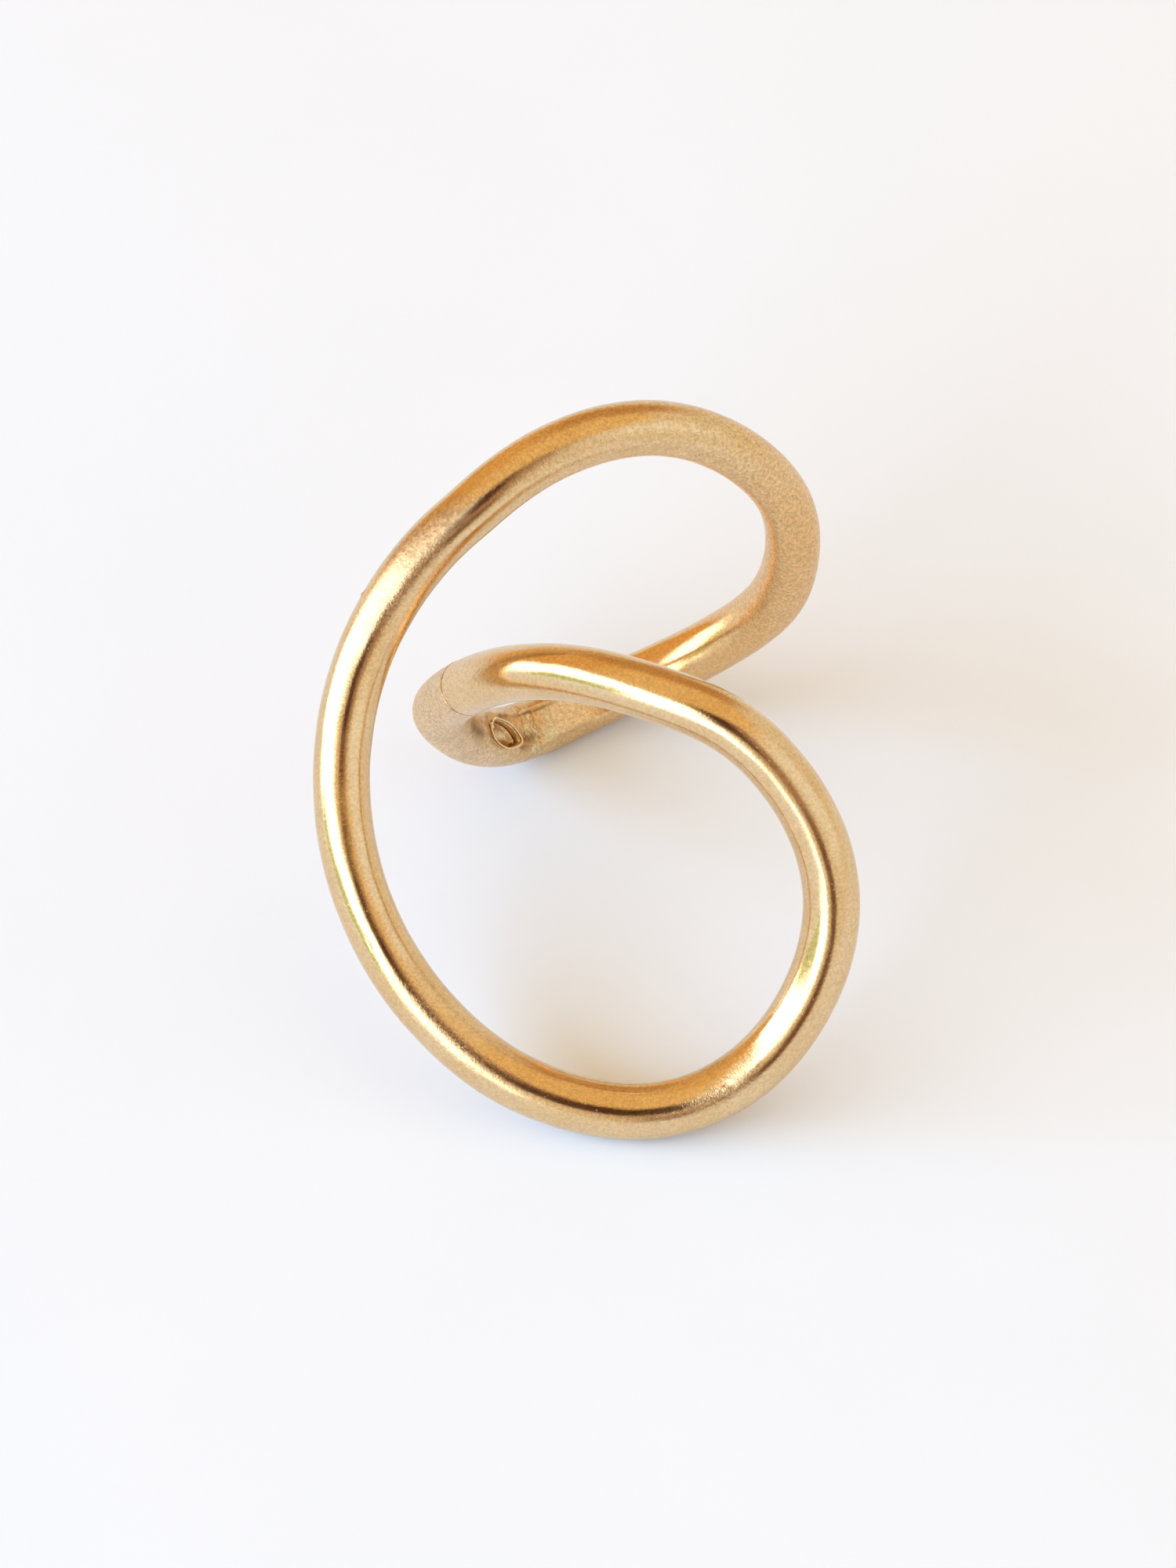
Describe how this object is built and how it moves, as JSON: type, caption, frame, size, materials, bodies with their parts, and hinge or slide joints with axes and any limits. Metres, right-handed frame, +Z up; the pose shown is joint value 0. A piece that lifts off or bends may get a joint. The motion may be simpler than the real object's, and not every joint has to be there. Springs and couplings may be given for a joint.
{
  "type": "sculptural tube ring",
  "caption": "Sculptural finger ring: a continuous run of gold-brass tube that loops over and under the finger and out into a wide open face loop, joined by soldered seams.",
  "frame": {"origin": "bottom centre of the bounding box: the ring stands on the plane z = 0 on the near end of its face loop and on the underside of its shank", "axes": "+Z up; -Y towards the viewer, so the face loop's near end is at -Y and the shank at +Y; +X to the right when seen from -Y"},
  "size_m": [0.03, 0.0358, 0.0292],
  "materials": {
    "face_loop_gold_brass": "polished with fine handling marks, warm yellow gold tone",
    "shank_gold_brass": "soft satin from finishing, warm gold tone",
    "solder_pale_gold": "mottled, slightly greenish grey-gold solder",
    "rim_bright_gold": "bright burnished edge"
  },
  "bodies": {
    "root": {"face_loop_tube": "face_loop_gold_brass", "shank_tube": "shank_gold_brass", "curl_solder_joint": "solder_pale_gold", "shank_solder_joint": "solder_pale_gold", "opening_rim": "rim_bright_gold"}
  },
  "joints": []
}
